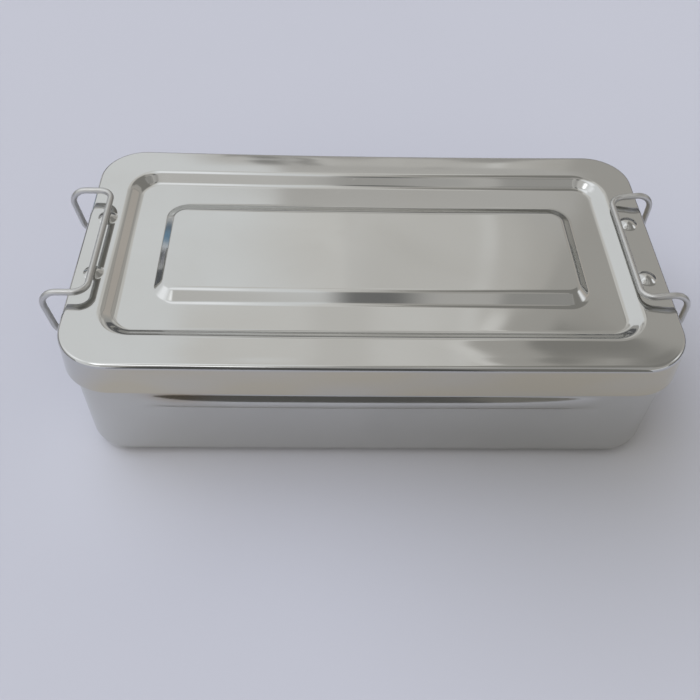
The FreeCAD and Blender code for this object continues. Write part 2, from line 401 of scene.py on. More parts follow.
@dataclass
class Sheet:
    """Vertices and faces of a surface that grows ring by ring."""

    plan: RingPlan
    points: np.ndarray = field(default_factory=lambda: np.zeros((0, 3)))
    faces: list[tuple[int, ...]] = field(default_factory=list)
    rings: list[np.ndarray] = field(default_factory=list)

    def add(self, points: np.ndarray) -> np.ndarray:
        """Adds points and returns their indices."""
        first = len(self.points)
        self.points = np.vstack((self.points, points))
        return np.arange(first, first + len(points))

    def grow(self, outline: Outline) -> None:
        """Adds a ring and joins it to the last one."""
        ring = self.add(self.plan.ring(outline))
        if self.rings:
            self.bridge(self.rings[-1], ring)
        self.rings.append(ring)

    def bridge(self, first: np.ndarray, second: np.ndarray) -> None:
        """Joins two rings with a band of faces."""
        count = len(first)
        for index in range(count):
            after = (index + 1) % count
            self.faces.append((first[index], first[after], second[after], second[index]))

    def fill(self, ring: np.ndarray, upwards: bool) -> np.ndarray:
        """Closes a ring with a grid of faces.

        Args:
            ring: Indices of the ring's points.
            upwards: True where the closed surface faces up.

        Returns:
            Indices of the grid's inner points.
        """
        across, deep = self.plan.long_count, self.plan.short_count
        closed = np.append(ring, ring[0])
        front = closed[: across + 1]
        right = closed[across : across + deep + 1]
        back = closed[across + deep : 2 * across + deep + 1][::-1]
        left = closed[2 * across + deep :][::-1]
        edge = self.points
        share_x = (edge[front, 0] - edge[front[0], 0]) / (edge[front[-1], 0] - edge[front[0], 0])
        share_y = (edge[left, 1] - edge[left[0], 1]) / (edge[left[-1], 1] - edge[left[0], 1])
        u, v = share_x[1:-1, None, None], share_y[None, 1:-1, None]
        lengthways = edge[front][1:-1, None] * (1 - v) + edge[back][1:-1, None] * v
        crossways = edge[left][None, 1:-1] * (1 - u) + edge[right][None, 1:-1] * u
        corners = (
            edge[front[0]] * (1 - u) * (1 - v) + edge[front[-1]] * u * (1 - v)
            + edge[back[0]] * (1 - u) * v + edge[back[-1]] * u * v
        )
        inner = self.add((lengthways + crossways - corners).reshape(-1, 3))
        table = np.zeros((across + 1, deep + 1), int)
        table[:, 0], table[:, -1], table[0, :], table[-1, :] = front, back, left, right
        table[1:-1, 1:-1] = inner.reshape(across - 1, deep - 1)
        for i in range(across):
            for j in range(deep):
                face = (table[i, j], table[i + 1, j], table[i + 1, j + 1], table[i, j + 1])
                self.faces.append(face if upwards else face[::-1])
        return inner


def point_normals(points: np.ndarray, faces: Sequence[tuple[int, ...]]) -> np.ndarray:
    """Unit normals at points, weighted by the area of the faces round each."""
    quads = np.array(faces)
    normal = np.cross(points[quads[:, 2]] - points[quads[:, 0]], points[quads[:, 3]] - points[quads[:, 1]])
    total = np.zeros_like(points)
    for corner in range(4):
        np.add.at(total, quads[:, corner], normal)
    return total / np.maximum(np.linalg.norm(total, axis=1), 1e-12)[:, None]


def make_piece(
    name: str,
    points: np.ndarray,
    faces: Sequence[tuple[int, ...]],
    masks: dict[str, np.ndarray] | None = None,
) -> bpy.types.Object:
    """Makes a smooth object from points in millimetres.

    Args:
        name: The object's name.
        points: Its vertices.
        faces: Its four-sided faces.
        masks: Values at the vertices, by name, for its material.

    Returns:
        The new object, in the scene.
    """
    mesh = bpy.data.meshes.new(name)
    mesh.from_pydata((points * MM).tolist(), [], [tuple(int(i) for i in face) for face in faces])
    mesh.polygons.foreach_set("use_smooth", [True] * len(mesh.polygons))
    for label, values in (masks or {}).items():
        mesh.attributes.new(label, "FLOAT", "POINT").data.foreach_set("value", values.astype(np.float32))
    mesh.normals_split_custom_set_from_vertices(point_normals(points, faces).tolist())
    mesh.update()
    piece = bpy.data.objects.new(name, mesh)
    bpy.context.scene.collection.objects.link(piece)
    return piece


def soft_step(share: np.ndarray | float) -> np.ndarray | float:
    """A step from 0 to 1 that starts and ends level."""
    held = np.clip(share, 0, 1)
    return held * held * (3 - 2 * held)


def pressed_slope(ease: float) -> list[tuple[float, float]]:
    """Points across a straight slope with a round bend at each end.

    Args:
        ease: How far each bend reaches to both sides of its corner, as a share of the slope's run.

    Returns:
        Pairs of the share of the run and the share of the rise.
    """
    pairs = []
    for share in np.linspace(-ease, ease, 10):
        pairs.append((share, (share + ease) ** 2 / (4 * ease)))
    for share in np.linspace(ease, 1 - ease, 8)[1:-1]:
        pairs.append((share, share))
    for share in np.linspace(1 - ease, 1 + ease, 10):
        pairs.append((share, 1 - (1 + ease - share) ** 2 / (4 * ease)))
    return pairs


def inset_of(x: np.ndarray, y: np.ndarray, outline: "Outline") -> np.ndarray:
    """How far points lie inside a rounded outline.

    Args:
        x: Positions along the tray.
        y: Positions across it.
        outline: The rounded rectangle.

    Returns:
        One distance for each point, less than 0 outside.
    """
    over_x = np.abs(x) - (outline.half_x - outline.radius)
    over_y = np.abs(y) - (outline.half_y - outline.radius)
    past = np.hypot(np.maximum(over_x, 0), np.maximum(over_y, 0))
    return outline.radius - past - np.minimum(np.maximum(over_x, over_y), 0)


def fractions(*stretches: tuple[float, float, int]) -> tuple[float, ...]:
    """Points on half a side, as (from, to, steps), and their mirror, without the ends.

    Args:
        stretches: Runs of points from 0 to 1, each starting where the last one ends.

    Returns:
        Fractions between -1 and 1 in rising order.
    """
    half = [0.0]
    for start, end, steps in stretches:
        half.extend(np.linspace(start, end, steps + 1)[1:])
    half = half[:-1]
    return tuple([-value for value in half[:0:-1]] + half)


def waves(x: np.ndarray, y: np.ndarray, z: np.ndarray, length: float, seed: int) -> np.ndarray:
    """Slow unevenness of a pressed sheet, between about -1 and 1.

    Args:
        x: Positions along the tray.
        y: Positions across it.
        z: Heights.
        length: The usual distance from one swell to the next.
        seed: Picks the pattern.

    Returns:
        One value for each position.
    """
    rng = np.random.default_rng(seed)
    total = np.zeros_like(x)
    for _ in range(7):
        direction = rng.normal(size=3)
        direction *= 2 * math.pi / length / np.linalg.norm(direction) * rng.uniform(0.6, 1.5)
        total += np.sin(x * direction[0] + y * direction[1] + z * direction[2] + rng.uniform(0, 2 * math.pi))
    return total / 3.5


def bowed(points: np.ndarray, front: float, back: float, half_x: float, half_y: float) -> np.ndarray:
    """Draws the long sides in at their middle, less towards the centre line.

    Args:
        points: The vertices.
        front: How far the front side is drawn in.
        back: How far the back side is drawn in.
        half_x: Half the length.
        half_y: Half the width.

    Returns:
        The moved vertices.
    """
    moved = points.copy()
    middle = 1 - np.clip(np.abs(points[:, 0]) / half_x, 0, 1) ** 2
    bow = np.where(points[:, 1] < 0, front, back)
    moved[:, 1] -= bow * middle * points[:, 1] / half_y
    return moved


# The object's pieces


@dataclass
class Piece:
    """What every sub-assembly shares: its name, what it rides on, what it stands for and its finish."""

    name: str
    body: Body
    node: str
    finish: SteelFinish

    def dress(self, piece: bpy.types.Object, material: bpy.types.Material) -> bpy.types.Object:
        """Gives a built object its material and body, and hides the node it stands for.

        Args:
            piece: The object.
            material: Its material.

        Returns:
            The same object.
        """
        piece.data.materials.append(material)
        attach(piece, self.body.value)
        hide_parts(self.node)
        count = len(piece.data.polygons)
        LOG.info("%s: %d faces, rides on %s, stands for %s", piece.name, count, self.body.value, self.node)
        return piece


@dataclass
class LidShell(Piece):
    """The pressed lid: skirt, rim, sunk field, raised panel and four pips."""

    half_x: float = 111.0
    half_y: float = 60.0
    corner_radius: float = 18.0
    top_z: float = 58.1
    sheet: float = 0.6
    skirt_height: float = 14.3
    skirt_flare: float = 0.6
    edge_radius: float = 1.5
    field_end_margin: float = 13.3
    field_side_margin: float = 14.2
    field_radius: float = 12.0
    field_depth: float = 3.0
    field_run: float = 4.5
    panel_end_margin: float = 29.7
    panel_side_margin: float = 32.0
    panel_radius: float = 8.5
    panel_height: float = 2.5
    panel_end_run: float = 3.8
    panel_side_run: float = 5.7
    field_ease: float = 1.3
    panel_ease: float = 1.0
    pip_margin: float = 7.5
    pip_spacing: float = 31.0
    pip_radius: float = 3.9
    pip_height: float = 1.4
    panel_dish: float = 0.6
    rim_swell: float = 0.10
    unevenness: float = 0.06
    stain_x: float = -88.0
    stain_z: float = 45.5
    front_bow: float = -0.7
    back_bow: float = 1.5

    def plan(self) -> RingPlan:
        """Ring points, close together beside the pips."""
        return RingPlan(
            long_side=fractions((0, 1, 56)),
            short_side=fractions((0, 0.26, 8), (0.26, 0.58, 28), (0.58, 1, 14)),
        )

    def outlines(self) -> list[Outline]:
        """The outer surface's rings, from the skirt's edge up and inwards to the panel."""
        found = []
        low_z = self.top_z - self.skirt_height
        lean = math.atan2(self.skirt_flare, self.skirt_height)
        bend_z = self.top_z - self.edge_radius * (1 - math.sin(lean))
        for z in np.linspace(low_z + self.sheet / 2, bend_z, 22):
            flare = self.skirt_flare * (self.top_z - z) / self.skirt_height
            found.append(Outline(self.half_x + flare, self.half_y + flare, self.corner_radius + flare, z))
        inset = self.edge_radius - self.skirt_flare * self.edge_radius / self.skirt_height
        for angle in np.linspace(lean, math.pi / 2, 15)[1:]:
            reach = self.edge_radius * math.cos(angle) - inset
            z = self.top_z - self.edge_radius * (1 - math.sin(angle))
            found.append(Outline(self.half_x + reach, self.half_y + reach, self.corner_radius + reach, z))

        rim = found[-1]
        field_x = self.half_x - self.field_end_margin
        field_y = self.half_y - self.field_side_margin
        brink = Outline(field_x, field_y, self.field_radius, self.top_z)
        foot = Outline(field_x - self.field_run, field_y - self.field_run, self.field_radius - self.field_run, 0)
        ease = self.field_ease / self.field_run
        slope_start = brink.between(foot, -ease, self.top_z)
        for share in np.append(np.linspace(0, 1, 34)[1:-1], 0.99):
            found.append(rim.between(slope_start, share, self.top_z))
        for share, fall in pressed_slope(ease):
            found.append(brink.between(foot, share, self.top_z - self.field_depth * fall))

        field_z = self.top_z - self.field_depth
        panel_x = self.half_x - self.panel_end_margin
        panel_y = self.half_y - self.panel_side_margin
        base = Outline(panel_x, panel_y, self.panel_radius, field_z)
        crest = Outline(
            panel_x - self.panel_end_run,
            panel_y - self.panel_side_run,
            self.panel_radius - self.panel_end_run,
            0,
        )
        ease = self.panel_ease / self.panel_side_run
        rise_start = base.between(crest, -ease, field_z)
        floor_edge = found[-1]
        for share in np.append(np.linspace(0, 1, 16)[1:-1], 0.985):
            found.append(floor_edge.between(rise_start, share, field_z))
        for share, rise in pressed_slope(ease):
            found.append(base.between(crest, share, field_z + self.panel_height * rise))
        flat = found[-1]
        for inset in (0.15, 0.5, 1.2):
            found.append(Outline(flat.half_x - inset, flat.half_y - inset, flat.radius - inset, flat.z))
        return found

    def pip_rise(self, x: np.ndarray, y: np.ndarray) -> np.ndarray:
        """Height of the four domes above the rim."""
        away = np.hypot(np.abs(x) - (self.half_x - self.pip_margin), np.abs(y) - self.pip_spacing / 2)
        share = np.clip(away / self.pip_radius, 0, 1)
        return self.pip_height * (1 - share ** 2) ** 1.5 * (1 + 0.35 * share ** 2)

    def moulded(self, points: np.ndarray) -> np.ndarray:
        """Adds the pips, the panel's dish, the rim's swell and the sheet's unevenness."""
        x, y, z = points.T
        moved = points.copy()
        top = soft_step((z - (self.top_z - self.field_depth - 1)) / 0.8)
        moved[:, 2] += self.pip_rise(x, y) * top
        inset = inset_of(x, y, Outline(self.half_x, self.half_y, self.corner_radius, self.top_z))
        rim_middle = (self.edge_radius + self.field_side_margin) / 2
        across = np.clip((inset - rim_middle) / (rim_middle - self.edge_radius), -1, 1)
        on_side = soft_step((np.abs(y) - 38) / 14) * soft_step((108 - np.abs(x)) / 40)
        moved[:, 2] += self.rim_swell * np.sign(y) * on_side * (1 - across ** 2) * top
        panel_x = self.half_x - self.panel_end_margin
        panel_y = self.half_y - self.panel_side_margin
        dish = np.clip(1 - (x / panel_x) ** 2, 0, 1) * np.clip(1 - (y / panel_y) ** 2, 0, 1)
        moved[:, 2] -= self.panel_dish * dish * top
        edge = soft_step((inset - self.edge_radius) / 4)
        moved[:, 2] += self.unevenness * waves(x, y, z * 0, 62, 5) * edge * top
        return bowed(moved, self.front_bow, self.back_bow, self.half_x, self.half_y)

    def skirt_tint_share(self, points: np.ndarray) -> np.ndarray:
        """Where the skirt is tinted warmer and darker: in patches, more towards its right and fading out at its left
        end, with one deeper stain at its left.
        """
        x, y, z = points.T
        outline = Outline(self.half_x, self.half_y, self.corner_radius, self.top_z)
        on_skirt = 1 - soft_step((inset_of(x, y, outline) - self.edge_radius / 2) / self.edge_radius)
        on_skirt *= soft_step((self.top_z - self.edge_radius + 0.3 - z) / 1.2)
        across = np.hypot((x - self.stain_x) / 17, (z - self.stain_z) / 4.5)
        stain = 0.6 * np.exp(-across ** 2) * (y < 0)
        spread = 0.93 + 0.10 * x / self.half_x + 0.25 * waves(x, y, z * 3, 40, 3)
        spread *= soft_step((x + self.half_x - 4) / 24)
        return np.clip(on_skirt * spread + stain, 0, 1)

    def build(self, material: bpy.types.Material) -> bpy.types.Object:
        """Makes the lid as a closed sheet with a round bottom edge.

        Args:
            material: Its finish.

        Returns:
            The lid.
        """
        sheet = Sheet(self.plan())
        for outline in self.outlines():
            sheet.grow(outline)
        sheet.fill(sheet.rings[-1], upwards=True)
        sheet.points = self.moulded(sheet.points)
        normals = point_normals(sheet.points, sheet.faces)
        outer_count = len(sheet.points)
        outer_faces = list(sheet.faces)
        sheet.add(sheet.points - normals * self.sheet)
        sheet.faces.extend(tuple(i + outer_count for i in face[::-1]) for face in outer_faces)

        edge = sheet.rings[0]
        middle = sheet.points[edge] - normals[edge] * self.sheet / 2
        down = sheet.points[edge] - sheet.points[sheet.rings[1]]
        down /= np.linalg.norm(down, axis=1)[:, None]
        last = edge + outer_count
        for angle in np.linspace(math.pi, 0, 9)[1:-1]:
            round_edge = middle + self.sheet / 2 * (math.cos(angle) * normals[edge] + math.sin(angle) * down)
            ring = sheet.add(round_edge)
            sheet.bridge(last, ring)
            last = ring
        sheet.bridge(last, edge)
        skirt_tint = self.skirt_tint_share(sheet.points)
        return self.dress(make_piece(self.name, sheet.points, sheet.faces, {TINT_MASK: skirt_tint}), material)


@dataclass
class TrayShell(Piece):
    """The deep-drawn tray: floor, drafted walls, two long beads and a rim folded to the outside."""

    half_x: float = 111.0
    half_y: float = 60.0
    corner_radius: float = 18.0
    top_z: float = 57.25
    sheet: float = 0.6
    wall_inset: float = 1.8
    draft_run: float = 1.1
    floor_radius: float = 8.0
    hem_height: float = 4.0
    hem_ease: float = 0.3
    bead_z: float = 35.9
    bead_width: float = 7.0
    bead_height: float = 1.6
    bead_shoulder: float = 3.0
    bead_reach: float = 83.5
    bead_bluntness: tuple[float, float] = (7.0, 4.0)
    weld_z: float = 25.2
    weld_spacing: float = 14.0
    weld_radius: float = 2.2
    smear_x: float = -70.0
    smear_z: float = 39.5
    unevenness: float = 0.07
    front_bow: float = -0.5
    back_bow: float = 1.5

    def plan(self) -> RingPlan:
        """Ring points, close together at the beads' ends."""
        return RingPlan(
            long_side=fractions((0, 0.84, 40), (0.84, 0.98, 16), (0.98, 1, 2)),
            short_side=fractions((0, 1, 42)),
        )

    def wall_profile(self, offset: float) -> list[tuple[float, float]]:
        """Points (inset, z) up one face of the sheet, from the floor's edge to the rim."""
        lean = math.atan2(self.draft_run, self.top_z)
        radius = self.floor_radius - offset
        low_inset = self.wall_inset + self.draft_run + offset / math.cos(lean)
        centre_inset = low_inset + radius * math.tan((math.pi / 2 - lean) / 2)
        centre_z = offset + radius
        profile = []
        for ahead in (14.0, 8.0, 4.0, 2.0, 1.0, 0.4, 0.1):
            profile.append((centre_inset + ahead, offset))
        for angle in np.linspace(-math.pi / 2, -lean, 19):
            profile.append((centre_inset - radius * math.cos(angle), centre_z + radius * math.sin(angle)))
        start_inset, start_z = profile[-1]
        end_z = self.top_z - self.hem_height - self.hem_ease
        slope = self.draft_run / self.top_z
        low, high = self.bead_z - 5, self.bead_z + 5
        for bottom, top, steps in ((start_z, low, 26), (low, high, 42), (high, end_z, 14)):
            for z in np.linspace(bottom, top, steps)[1:]:
                profile.append((start_inset - slope * (z - start_z), z))
        return profile

    def hem_profile(self) -> list[tuple[float, float]]:
        """Points (inset, z) round the folded rim, from the wall's outside over the top to its inside."""
        outer = self.wall_inset - self.sheet
        inner = self.wall_inset + self.sheet
        low_z = self.top_z - self.hem_height
        profile = []
        for angle in np.linspace(-math.pi / 2, 0, 7):
            reach = self.hem_ease * math.cos(angle)
            profile.append((outer + self.hem_ease - reach, low_z + self.hem_ease * (1 + math.sin(angle))))
        profile.insert(0, (self.wall_inset - 0.02, low_z))
        fold = self.sheet
        for z in np.linspace(low_z + self.hem_ease, self.top_z - fold, 9)[1:]:
            profile.append((outer, z))
        for angle in np.linspace(0, math.pi, 15)[1:]:
            profile.append((outer + fold * (1 - math.cos(angle)), self.top_z - fold + fold * math.sin(angle)))
        for z in np.linspace(self.top_z - fold, low_z - self.hem_ease, 9)[1:-1]:
            profile.append((inner, z))
        return profile

    def bead_rise(self, x: np.ndarray, z: np.ndarray) -> np.ndarray:
        """How far the long bead stands out of a side wall."""
        half = self.bead_width / 2
        radius = (half ** 2 + self.bead_height ** 2) / (2 * self.bead_height)
        away = np.abs(z - self.bead_z)
        crown = np.sqrt(radius ** 2 - np.minimum(away, self.bead_shoulder) ** 2) - radius + self.bead_height
        drop = math.sqrt(radius ** 2 - self.bead_shoulder ** 2)
        fade = 2 * (drop - radius + self.bead_height) * drop / self.bead_shoulder
        flank = np.clip((self.bead_shoulder + fade - away) / fade, 0, 1) ** 2
        bluntness = np.where(x < 0, *self.bead_bluntness)
        taper = np.clip(1 - (np.abs(x) / self.bead_reach) ** bluntness, 0, 1)
        return crown * np.where(away > self.bead_shoulder, flank, 1.0) * taper

    def moulded(self, points: np.ndarray) -> np.ndarray:
        """Adds the beads, the walls' unevenness and the bow of the long sides."""
        x, y, z = points.T
        moved = points.copy()
        on_side = soft_step((np.abs(y) - 52) / 3)
        moved[:, 1] += np.sign(y) * self.bead_rise(x, z) * on_side
        on_end = soft_step((np.abs(x) - 103) / 3)
        height = soft_step(z / 12) * soft_step((self.top_z - 3 - z) / 6)
        swell = self.unevenness * waves(x, y, z, 70, 11) * height
        moved[:, 1] += np.sign(y) * swell * on_side
        moved[:, 0] += np.sign(x) * swell * on_end * 0.6
        lean = np.clip(z / self.top_z, 0, 1)
        return moved + (bowed(moved, self.front_bow, self.back_bow, self.half_x, self.half_y) - moved) * lean[:, None]

    def tinted(self, points: np.ndarray) -> np.ndarray:
        """Where the spot welds have tinted the inside of the end walls, and polish has smeared the front bead."""
        heat = np.zeros(len(points))
        for step in (-1, 0, 1):
            away = np.hypot(points[:, 1] - step * self.weld_spacing, points[:, 2] - self.weld_z)
            heat = np.maximum(heat, np.exp(-((away / self.weld_radius - 0.8) / 0.35) ** 2))
        heat *= 0.5 * (np.abs(points[:, 0]) > self.half_x - 8)
        smear = np.hypot((points[:, 0] - self.smear_x) / 11, (points[:, 2] - self.smear_z) / 3)
        return heat + 0.7 * np.exp(-smear ** 2) * (points[:, 1] < -self.half_y / 2)

    def build(self, material: bpy.types.Material) -> bpy.types.Object:
        """Makes the tray as a closed sheet: outside, hem, inside.

        Args:
            material: Its finish.

        Returns:
            The tray.
        """
        profile = self.wall_profile(0.0) + self.hem_profile() + self.wall_profile(self.sheet)[::-1]
        sheet = Sheet(self.plan())
        for inset, z in profile:
            radius = max(self.corner_radius - inset, 1.5)
            sheet.grow(Outline(self.half_x - inset, self.half_y - inset, radius, z))
        sheet.fill(sheet.rings[0], upwards=False)
        sheet.fill(sheet.rings[-1], upwards=True)
        tint = self.tinted(sheet.points)
        points = self.moulded(sheet.points)
        return self.dress(make_piece(self.name, points, sheet.faces, {TINT_MASK: tint}), material)


@dataclass
class Bail(Piece):
    """One bail of round wire, whose two ends meet inside the hinge strap's barrel."""

    side: int = 1
    open_angle: float = 0.0
    shift_y: float = 0.0
    wire_diameter: float = 2.4
    pivot_x: float = 111.188
    pivot_z: float = 33.2
    elbow_x: float = 115.8
    foot_rise: float = 12.0
    shoulder_z: float = 63.0
    crossbar_x: float = 98.5
    crossbar_z: float = 60.4
    arm_y: float = 28.5
    end_gap: float = 1.2
    bend_radii: tuple[float, ...] = (3.5, 6.0, 6.0, 5.0)
    ring_points: int = 28

    def route(self) -> np.ndarray:
        """Closely spaced points along the latched wire's middle, with round bends."""
        profile = (
            (self.pivot_x, self.pivot_z),
            (self.elbow_x, self.pivot_z + self.foot_rise),
            (self.elbow_x, self.shoulder_z),
            (self.crossbar_x, self.crossbar_z),
        )
        front = [(x, -self.arm_y, z) for x, z in profile]
        back = [(x, self.arm_y, z) for x, z in reversed(profile)]
        first = (self.pivot_x, -self.end_gap / 2, self.pivot_z)
        last = (self.pivot_x, self.end_gap / 2, self.pivot_z)
        corners = [np.array(point) for point in [first, *front, *back, last]]
        radii = self.bend_radii + self.bend_radii[::-1]
        points = [corners[0]]
        for before, corner, after, radius in zip(corners, corners[1:], corners[2:], radii):
            into = (corner - before) / np.linalg.norm(corner - before)
            out = (after - corner) / np.linalg.norm(after - corner)
            turn = math.acos(float(np.clip(into @ out, -1, 1)))
            reach = radius * math.tan(turn / 2)
            bisector = (out - into) / np.linalg.norm(out - into)
            centre = corner + bisector * radius / math.cos(turn / 2)
            straight_to = corner - into * reach
            count = max(2, int(np.linalg.norm(straight_to - points[-1]) / 1.5))
            points.extend(np.linspace(points[-1], straight_to, count + 1)[1:])
            forward = (into + out) / np.linalg.norm(into + out)
            for share in np.linspace(0, 1, 15)[1:]:
                angle = (share - 0.5) * turn
                points.append(centre - radius * (bisector * math.cos(angle) - forward * math.sin(angle)))
        points.extend(np.linspace(points[-1], corners[-1], 20)[1:])
        return np.array(points)

    def placed(self, points: np.ndarray) -> np.ndarray:
        """Mirrors the latched wire to its side, swings it open and shifts it along its pivot."""
        turn = math.radians(self.open_angle)
        away = points - np.array((self.pivot_x, 0, self.pivot_z))
        x = away[:, 0] * math.cos(turn) + away[:, 2] * math.sin(turn)
        z = -away[:, 0] * math.sin(turn) + away[:, 2] * math.cos(turn)
        return np.column_stack((self.side * (self.pivot_x + x), away[:, 1] + self.shift_y, self.pivot_z + z))

    def build(self, material: bpy.types.Material) -> bpy.types.Object:
        """Makes the bail as a tube with slightly rounded ends.

        Args:
            material: Its finish.

        Returns:
            The bail.
        """
        route = self.placed(self.route())
        tangents = np.gradient(route, axis=0)
        tangents /= np.linalg.norm(tangents, axis=1)[:, None]
        normal = np.cross(tangents[0], (0, 0, 1.0))
        angles = np.linspace(0, 2 * math.pi, self.ring_points, endpoint=False)[:, None]
        spokes = []
        for tangent in tangents:
            normal = normal - tangent * (normal @ tangent)
            normal /= np.linalg.norm(normal)
            spokes.append(np.cos(angles) * normal + np.sin(angles) * np.cross(tangent, normal))
        last = len(route) - 1
        loops = [(0, share) for share in (0.02, 0.5, 0.85)]
        loops += [(station, 1.0) for station in range(len(route))]
        loops += [(last, share) for share in (0.85, 0.5, 0.02)]
        points, faces = [], []
        for station, share in loops:
            points.append(route[station] + spokes[station] * self.wire_diameter / 2 * share)
        for index in range(1, len(loops)):
            low, high = (index - 1) * self.ring_points, index * self.ring_points
            for step in range(self.ring_points):
                after = (step + 1) % self.ring_points
                faces.append((low + step, low + after, high + after, high + step))
        return self.dress(make_piece(self.name, np.vstack(points), faces), material)


@dataclass
class HingeStrap(Piece):
    """A strap welded on an end wall, with its top edge rolled round the bail's wire."""

    side: int = 1
    half_length: float = 22.0
    sheet: float = 1.0
    drop: float = 14.0
    corner_radius: float = 3.0
    pivot_x: float = 111.188
    pivot_z: float = 33.2
    bore_radius: float = 1.25
    wall_x: float = 108.738
    wall_slope: float = 0.0192
    slit_angle: float = 258.0
    weld_spacing: float = 14.0
    weld_drop: float = 8.0
    weld_radius: float = 2.1
    weld_depth: float = 0.22

    def middle_line(self) -> np.ndarray:
        """Points (x, z) along the middle of the sheet, from its foot round the wire."""
        radius = self.bore_radius + self.sheet / 2
        points = []
        for z in np.linspace(self.pivot_z - self.drop, self.pivot_z - 1.6, 30):
            inset = self.wall_slope * (self.pivot_z - z)
            points.append((self.wall_x - inset + self.sheet / 2, z))
        for angle in np.linspace(190, self.slit_angle - 360, 52):
            turn = math.radians(angle)
            points.append((self.pivot_x + radius * math.cos(turn), self.pivot_z + radius * math.sin(turn)))
        return np.array(points)

    def build(self, material: bpy.types.Material) -> bpy.types.Object:
        """Makes the strap as a bent sheet with round edges and three weld dimples.

        Args:
            material: Its finish.

        Returns:
            The strap.
        """
        line = self.middle_line()
        run = np.gradient(line, axis=0)
        run /= np.linalg.norm(run, axis=1)[:, None]
        normal = np.column_stack((run[:, 1], -run[:, 0]))
        along = np.concatenate(([0], np.cumsum(np.linalg.norm(np.diff(line, axis=0), axis=1))))
        half = self.sheet / 2
        section = [(math.sin(angle), math.cos(angle)) for angle in np.linspace(0, math.pi, 7)]
        across = np.linspace(-1, 1, 91)
        loop = [(share, 1.0, 0.0) for share in across]
        loop += [(1.0, c, s) for s, c in section[1:-1]]
        loop += [(share, -1.0, 0.0) for share in across[::-1]]
        loop += [(-1.0, c, s) for s, c in section[-2:0:-1]]
        points, heat = [], []
        stations = [(0, reach) for reach in (0.05, 0.5, 0.87)]
        stations += [(index, 1.0) for index in range(len(line))]
        stations += [(len(line) - 1, reach) for reach in (0.87, 0.5, 0.05)]
        for index, thick in stations:
            rounding = max(0.0, self.corner_radius - along[index])
            cut_back = self.corner_radius - math.sqrt(self.corner_radius ** 2 - rounding ** 2)
            width = self.half_length - half * 0.6 - cut_back
            below = self.pivot_z - self.weld_drop - line[index][1]
            for share, face, bulge in loop:
                y = width * share + math.copysign(bulge * half * 0.6, share)
                away = math.hypot(min(abs(y), abs(abs(y) - self.weld_spacing)), below)
                sunk = 1 - soft_step((away - 0.9) / (self.weld_radius - 0.9))
                dimple = self.weld_depth * float(sunk) * (face > 0.5)
                offset = half * face * thick - dimple
                x, z = line[index] + normal[index] * offset
                points.append((self.side * x, y, z))
                heat.append(0.75 * math.exp(-((away / self.weld_radius - 1.15) / 0.4) ** 2) * (index < 30))
        count = len(loop)
        faces = []
        for low in range(0, count * (len(stations) - 1), count):
            for step in range(count):
                after = (step + 1) % count
                face = (low + step, low + after, low + count + after, low + count + step)
                faces.append(face if self.side < 0 else face[::-1])
        return self.dress(make_piece(self.name, np.array(points), faces, {TINT_MASK: np.array(heat)}), material)


# The studio


@dataclass(frozen=True)
class WallPatch:
    """A soft-edged patch of the room's walls, by its bearing from +Y towards +X and its elevation, in degrees.

    A slant moves its bearing by so many degrees for each degree of elevation.
    """

    bearing: float
    half_width: float
    elevation: float
    half_height: float
    colour: Colour
    strength: float = 1.0
    soft: float = 3.0
    slant: float = 0.0


@dataclass(frozen=True)
class CeilingPatch:
    """A soft-edged patch overhead, by the X and Y parts of its direction."""

    x: float
    half_x: float
    y: float
    half_y: float
    colour: Colour
    soft: float = 0.03


def grey(level: float, warmth: float = 0.0) -> Colour:
    """A grey, a little warmer or cooler by a share."""
    return level * (1 + warmth / 2), level, level * (1 - warmth)


WALL_PATCHES = (
    WallPatch(86.0, 90, 50, 37, grey(0.79, 0.02), soft=4.5),
    WallPatch(92.0, 90, 50, 37, grey(0.74, 0.02), soft=0.3),
    WallPatch(93.8, 90, 50, 37, grey(0.69, 0.03), soft=2.0),
    WallPatch(2.0, 12.0, 29, 8, grey(0.64, 0.03), soft=3.0),
    WallPatch(13.6, 0.7, 42, 9, grey(0.76, 0.02), soft=0.5),
    WallPatch(104.6, 90, 50, 37, grey(0.63, 0.04), soft=0.3),
    WallPatch(107.2, 90, 50, 37, grey(0.55, 0.05), soft=1.8),
    WallPatch(109.6, 90, 50, 37, grey(0.46, 0.05), soft=0.6),
    WallPatch(-1.0, 13, 50, 5.5, grey(0.76, 0.02), soft=2.5),
    WallPatch(1.5, 3.5, 50, 5.0, grey(0.69, 0.03), soft=1.5),
    WallPatch(13.7, 1.0, 50, 5.0, grey(0.85, 0.02), soft=0.5, slant=-0.6),
    WallPatch(71.3, 60, 56.0, 11.5, grey(0.46, 0.05), soft=0.6, slant=-0.6),
    WallPatch(64.0, 45, 58.0, 13.5, grey(0.275, 0.05), soft=0.6, slant=-0.28),
    WallPatch(50, 20, 26, 9, (0.56, 0.52, 0.48), soft=5.0),
    WallPatch(44, 52, 32.2, 1.3, grey(0.38, 0.04), soft=0.5),
    WallPatch(8.5, 12.5, 38.6, 1.9, grey(0.565, 0.03), soft=0.8),
    WallPatch(-4.7, 1.1, 35.2, 1.6, grey(0.29, 0.03), soft=0.5, slant=0.3),
    WallPatch(-2.1, 0.8, 35.6, 1.3, grey(0.33, 0.03), soft=0.4, slant=0.5),
    WallPatch(9.2, 1.0, 37.0, 0.35, grey(0.42, 0.03), soft=0.2),
    WallPatch(180, 50, 48, 12, grey(0.42), soft=8.0),
    WallPatch(-146, 26, 65, 12, grey(1.0, -0.03), strength=2.4, soft=4.0),
    WallPatch(-82, 20, 50, 12, grey(1.0, -0.04), strength=1.25, soft=9.0),
    WallPatch(78, 10, 36, 7, grey(1.0, -0.04), strength=1.2, soft=5.0),
)

